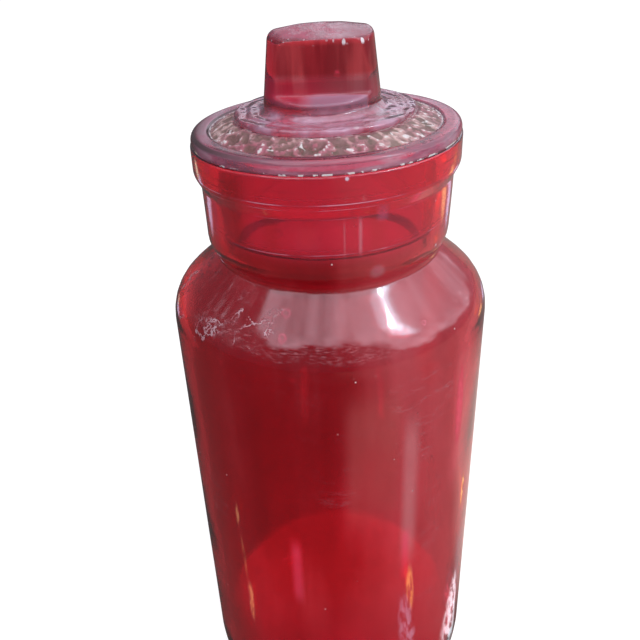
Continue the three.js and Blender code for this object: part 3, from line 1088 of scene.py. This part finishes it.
floor = {
    "size": 8.0,
    "colour": (0.30, 0.30, 0.30),
    "glow": 0.93,
    "mirrorColour": (0.06, 0.06, 0.06),
    "mirrorTint": (1.0, 0.66, 0.60),
    "mirrorAcross": (-0.05, 0.25, 0.06, 0.28),
    "rightAcross": (0.0, 0.08, 0.0, 0.75),
    "behindAcross": (-0.02, 0.06),
    "close": (0.42, 0.42, 1),
    "closeEdge": 0.5,
    "flecks": ((160.0, 3.0), (0.40, 0.56, 0.15, 1.0)),
    "spotEdge": 0.4,
    # Bright spots that only the glass mirrors: middle and half sizes in mm, turn, level and colour
    "spots": [
        ((94, -80), (19, 8), -32, 4.8, (1.0, 0.52, 0.16)),
        ((70, -72), (26, 13), -50, 1.9, (0.78, 0.72, 1.0)),
        ((-97, -50), (16, 6), 0, 2.6, (1.0, 0.50, 0.22)),
        ((-128, -47), (20, 4), -6, 0.9, (1.0, 0.50, 0.25)),
        ((-161, -43), (13, 6), -6, 1.8, (1.0, 0.60, 0.28)),
        ((78, -6), (34, 13), 52, 2.4, (0.85, 0.93, 1.0)),
        ((142, 58), (18, 8), 48, 2.6, (1.0, 0.68, 0.28)),
        ((250, 52), (60, 26), 20, 1.6, (1.0, 0.22, 0.34)),
        ((490, 372), (140, 75), 40, 2.2, (1.0, 0.62, 0.25)),
        ((365, 465), (130, 70), 52, 1.7, (0.78, 0.72, 1.0)),
        ((-440, 440), (130, 80), 135, 1.5, (0.66, 0.68, 1.0)),
        ((-500, 570), (110, 60), 130, 1.4, (0.95, 0.85, 0.62)),
        ((560, 500), (120, 60), 45, 0.8, (1.0, 0.55, 0.30)),
        ((139, -560), (70, 7), -76, 1.6, (1.0, 0.9, 0.95)),
        ((268, -508), (70, 12), -62, 2.2, (1.0, 0.9, 0.95)),
    ],
}
sky = {
    "light": 0.5,
    "low": 0.12,
    "tint": (0.88, 0.86, 1.0),
    "clouds": ((4.0, 3.0), (0.3, 0.7, -0.1, 0.1)),
    "backLift": (0.0, 0.5, 0.0, 0.10),
    "up": (0.14, 0.32),
    "right": (-0.67, -0.57, 0.12, 1.0),
    "away": (-0.62, -0.50),
    "depth": (-0.2, 0.4, 2.0, 1.0),
    "dullAcross": (-0.30, 0.12, 0.12, 1.0),
    "dullBehind": (0.2, 0.5, 1.0, 0.0),
    "bandStretch": 0.4,
    "bands": ((7.0, 3.0), (0.3, 0.7, 0.65, 1.35)),
    "bits": ((17.0, 4.0, 0.6), (0.44, 0.68)),
    "bitLevel": 2.2,
}
# A bright cloud over the right of the front, as a direction, its half sizes and its turn about the level axis
skyCloud = {
    "way": (0.60, -0.22, 0.77),
    "half": (0.30, 0.12, 0.20),
    "turn": 41.5,
    "level": 12.0,
    "torn": ((11.0, 4.0, 0.6), (0.35, 0.65, 0.2, 1.5)),
    "tint": (0.62, 0.84, 1.0),
    "tintSpan": (0.0, 2.0),
}


# One for rays from the camera and through the glass, nought for mirror images and for light
def seenMask(tree):
    path = addNode(tree, "LightPath", {}).outputs
    return addMost(tree, path["Is Camera Ray"], path["Is Transmission Ray"])


def isMirrored(tree):
    return addNode(tree, "LightPath", {}).outputs["Is Glossy Ray"]


# Nearness to the middle of a stretched spot
def addSpot(tree, place, middle, half, turn, edge):
    angles = [math.radians(angle) for angle in turn]
    values = {"Vector": place, "Location": middle, "Rotation": angles, "Scale": half}
    shifted = addNode(tree, "Mapping", values, vector_type="TEXTURE").outputs["Vector"]
    away = addNode(tree, "VectorMath", {0: shifted}, operation="LENGTH").outputs["Value"]
    return addRange(tree, away, 1.0, edge, smooth=True)


# White to the eye; its mirror image in the glass is dimmer on the left
def makeFloor():
    deselectAll()
    bpy.ops.mesh.primitive_plane_add(size=floor["size"], location=(0, 0, 0))
    plane = bpy.context.object
    plane.name = "floor"
    material, tree = newMaterial("floorPale")
    place = addNode(tree, "TexCoord", {}).outputs["Object"]
    apart = addSplit(tree, place)
    glow = addRange(tree, apart["X"], *floor["mirrorAcross"], smooth=True)
    right = addRange(tree, apart["X"], *floor["rightAcross"], smooth=True)
    behind = addRange(tree, apart["Y"], *floor["behindAcross"], smooth=True)
    close = addSpot(tree, place, (0, 0, 0), floor["close"], (0, 0, 0), floor["closeEdge"])
    glow = addMost(tree, glow, addMask(tree, right, behind, close))
    colour = floor["mirrorTint"]
    flecks = addPatches(tree, place, *floor["flecks"])
    for (x, y), half, turn, level, tint in floor["spots"]:
        sizes = (half[0] * mm, half[1] * mm, 1)
        spot = addSpot(tree, place, (x * mm, y * mm, 0), sizes, (0, 0, turn), floor["spotEdge"])
        spot = addMask(tree, spot, flecks)
        glow = addMost(tree, glow, addMask(tree, spot, level))
        colour = addMix(tree, addRange(tree, spot, 0.0, floor["spotEdge"]), colour, tint)
    glow = addMask(tree, glow, isMirrored(tree))
    glow = addMost(tree, addMask(tree, seenMask(tree), floor["glow"]), glow)
    tone = addMix(tree, isMirrored(tree), floor["colour"], floor["mirrorColour"])
    matt = addNode(tree, "BsdfDiffuse", {"Color": tone}).outputs["BSDF"]
    colour = addMix(tree, isMirrored(tree), (1, 1, 1), colour)
    shining = addNode(tree, "Emission", {"Color": colour, "Strength": glow}).outputs["Emission"]
    both = addNode(tree, "AddShader", {0: matt, 1: shining}).outputs["Shader"]
    addNode(tree, "OutputMaterial", {"Surface": both})
    plane.data.materials.append(material)


# A soft sky over the front and right, low and dim elsewhere, for mirror images; plain light for the rest
def makeWorld():
    world = bpy.data.worlds.new("studio")
    scene.world = world
    world.use_nodes = True
    tree = world.node_tree
    tree.nodes.clear()
    way = addNode(tree, "TexCoord", {}).outputs["Generated"]
    apart = addSplit(tree, way)
    clouds = addPatches(tree, way, *sky["clouds"])
    height = addMath(tree, "ADD", apart["Z"], clouds)
    height = addMath(tree, "ADD", height, addRange(tree, apart["Y"], *sky["backLift"], smooth=True))
    up = addRange(tree, height, *sky["up"], smooth=True)
    right = addRange(tree, addMath(tree, "ADD", apart["X"], clouds), *sky["right"], smooth=True)
    away = addRange(tree, addMath(tree, "ADD", apart["Y"], clouds), *sky["away"])
    dull = addRange(tree, apart["X"], *sky["dullAcross"], smooth=True)
    dull = addMost(tree, dull, addRange(tree, apart["Y"], *sky["dullBehind"]))
    bands = addPatches(tree, addStretch(tree, way, sky["bandStretch"]), *sky["bands"])
    level = addRange(tree, apart["Y"], *sky["depth"], smooth=True)
    level = addMask(tree, level, dull, bands)
    bits = addPatches(tree, way, *sky["bits"])
    bits = addMask(tree, bits, bits, dull, sky["bitLevel"])
    mirrored = addMost(tree, addMask(tree, up, right, away, level), addMask(tree, up, bits))
    turn = (0, skyCloud["turn"], 0)
    cloud = addSpot(tree, way, skyCloud["way"], skyCloud["half"], turn, 0.0)
    torn = addPatches(tree, way, *skyCloud["torn"])
    cloud = addMask(tree, cloud, torn, skyCloud["level"])
    mirrored = addMost(tree, addMath(tree, "ADD", mirrored, cloud), sky["low"])
    seen = seenMask(tree)
    plain = addMath(tree, "SUBTRACT", 1.0, addMost(tree, seen, isMirrored(tree)))
    plain = addMask(tree, plain, sky["light"])
    strength = addMost(tree, seen, addMask(tree, mirrored, isMirrored(tree)), plain)
    tint = addMix(tree, addRange(tree, cloud, *skyCloud["tintSpan"]), sky["tint"], skyCloud["tint"])
    colour = addMix(tree, seen, tint, (1, 1, 1))
    shining = addNode(tree, "Background", {"Color": colour, "Strength": strength})
    addNode(tree, "OutputWorld", {"Surface": shining.outputs["Background"]})


lamps = {
    "aim": (0, 0, 0.2),
    "key": ((0.7, -0.9, 1.5), 1.0, 1.0, 5.0),
    "sky": ((0.56, -0.27, 1.02), 0.06, 0.045, 20.0),
}


def addLamp(name, place, width, height, radiance):
    data = bpy.data.lights.new(name, "AREA")
    data.shape = "RECTANGLE"
    data.size = width
    data.size_y = height
    data.energy = radiance * math.pi * width * height
    lamp = bpy.data.objects.new(name, data)
    scene.collection.objects.link(lamp)
    lamp.location = place
    lamp.rotation_euler = (Vector(lamps["aim"]) - Vector(place)).to_track_quat("-Z", "Y").to_euler()
    lamp.visible_camera = False
    lamp.visible_transmission = False
    return lamp


makeFloor()
makeWorld()
addLamp("keySoft", *lamps["key"]).visible_glossy = False
addLamp("skyLamp", *lamps["sky"])
print("studio lit")

scene.view_settings.view_transform = "Standard"
